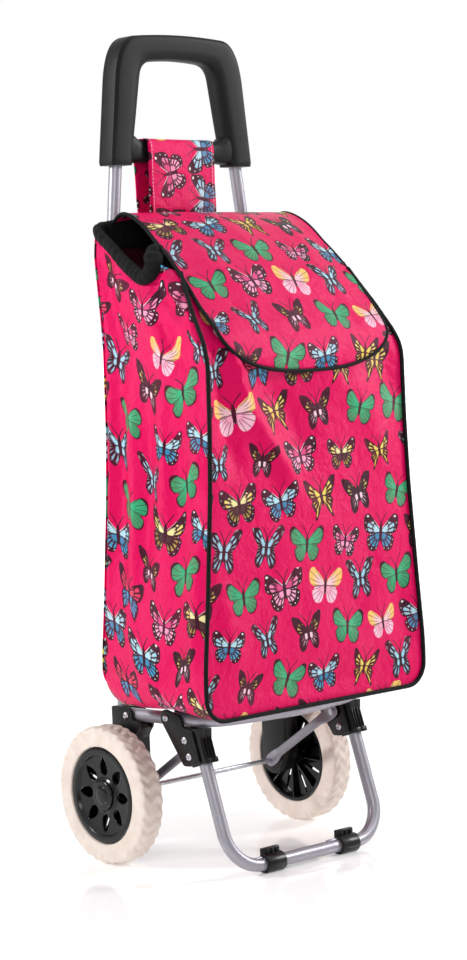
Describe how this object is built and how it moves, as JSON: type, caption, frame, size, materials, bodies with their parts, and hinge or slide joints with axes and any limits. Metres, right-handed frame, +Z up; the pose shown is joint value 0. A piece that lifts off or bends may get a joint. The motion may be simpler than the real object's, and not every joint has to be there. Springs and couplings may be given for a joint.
{
  "type": "shopping trolley on wheels",
  "caption": "Folding shopping trolley: a tall printed cloth bag with a flap on a bent tube frame with foam wheels, a rest leg and a loop handle.",
  "frame": {"origin": "on the floor, at the middle of the whole object's width and depth", "axes": "+Z up, -Y towards the front of the bag, +X to the right as seen from the front"},
  "size_m": [0.3386, 0.2889, 0.9509],
  "materials": {
    "silver_paint": "satin metallic silver paint on steel tube",
    "grey_paint": "satin grey paint on pressed steel",
    "zinc": "bright zinc plating",
    "black_plastic": "fine textured satin moulding",
    "black_gloss": "glossy moulding",
    "cream_foam": "matte moulded foam with a wavy tread",
    "printed_cloth": "coated pink cloth with a butterfly print and a soft sheen",
    "black_cloth": "black woven binding and lining",
    "grey_board": "plain stiffening board"
  },
  "bodies": {
    "root": {"handle_grip": "black_plastic", "handle_screw_left": "zinc", "handle_screw_right": "zinc", "upright_tube_left": "silver_paint", "upright_tube_right": "silver_paint", "rear_bracket_left": "black_plastic", "rear_bracket_right": "black_plastic", "rear_rivet_left": "zinc", "rear_rivet_right": "zinc", "axle": "zinc", "axle_washer_left": "zinc", "axle_washer_right": "zinc", "push_nut_left": "zinc", "push_nut_right": "zinc", "bag_front_panel": "printed_cloth", "bag_back_panel": "printed_cloth", "bag_side_left": "printed_cloth", "bag_side_right": "printed_cloth", "bag_base": "printed_cloth", "base_board": "grey_board", "front_piping": "black_cloth", "mouth_collar": "black_cloth", "hanging_strap": "printed_cloth"},
    "shelf": {"shelf_tube": "silver_paint"},
    "leg": {"leg_tube": "silver_paint", "front_bracket_outer_left": "black_plastic", "front_bracket_outer_right": "black_plastic", "front_bracket_inner_left": "black_plastic", "front_bracket_inner_right": "black_plastic", "leg_pivot_rivet_left": "zinc", "leg_pivot_rivet_right": "zinc", "brace_side_rivet_left": "zinc", "brace_side_rivet_right": "zinc", "socket_rivet_left": "zinc", "socket_rivet_right": "zinc", "foot_clip_left": "black_plastic", "foot_clip_right": "black_plastic"},
    "braces": {"brace_left": "grey_paint", "brace_right": "grey_paint", "brace_pin_left": "zinc", "brace_pin_right": "zinc"},
    "wheel_left": {"tyre_left": "cream_foam", "wheel_hub_left": "black_gloss", "hub_cover_left": "black_plastic", "hub_cap_left": "black_plastic"},
    "wheel_right": {"tyre_right": "cream_foam", "wheel_hub_right": "black_gloss", "hub_cover_right": "black_plastic", "hub_cap_right": "black_plastic"},
    "flap": {"flap": "printed_cloth", "flap_piping": "black_cloth"}
  },
  "joints": [
    {"name": "shelf_fold", "type": "hinge", "parent": "root", "child": "shelf", "pos_m": [0, 0.05635, 0.169], "axis": [-1, 0, 0], "range_deg": [0, 88], "deforming": ["bag_base", "base_board", "bag_back_panel", "bag_front_panel", "bag_side_left", "bag_side_right", "front_piping", "mouth_collar"]},
    {"name": "leg_fold", "type": "hinge", "parent": "shelf", "child": "leg", "pos_m": [0, -0.01565, 0.174], "axis": [1, 0, 0], "range_deg": [0, 107]},
    {"name": "brace_swing", "type": "hinge", "parent": "root", "child": "braces", "pos_m": [0, 0.06435, 0.08], "axis": [-1, 0, 0], "range_deg": [0, 45]},
    {"name": "wheel_spin_left", "type": "hinge", "parent": "root", "child": "wheel_left", "pos_m": [-0.148, 0.06435, 0.08], "axis": [1, 0, 0], "continuous": true},
    {"name": "wheel_spin_right", "type": "hinge", "parent": "root", "child": "wheel_right", "pos_m": [0.148, 0.06435, 0.08], "axis": [1, 0, 0], "continuous": true},
    {"name": "flap_lift", "type": "hinge", "parent": "root", "child": "flap", "pos_m": [0, 0.05535, 0.737], "axis": [-1, 0, 0], "range_deg": [0, 65]}
  ],
  "couplings": [
    {"joint": "leg_fold", "follows": "shelf_fold", "ratio": 1.2132},
    {"joint": "brace_swing", "follows": "shelf_fold", "ratio": 0.509}
  ]
}
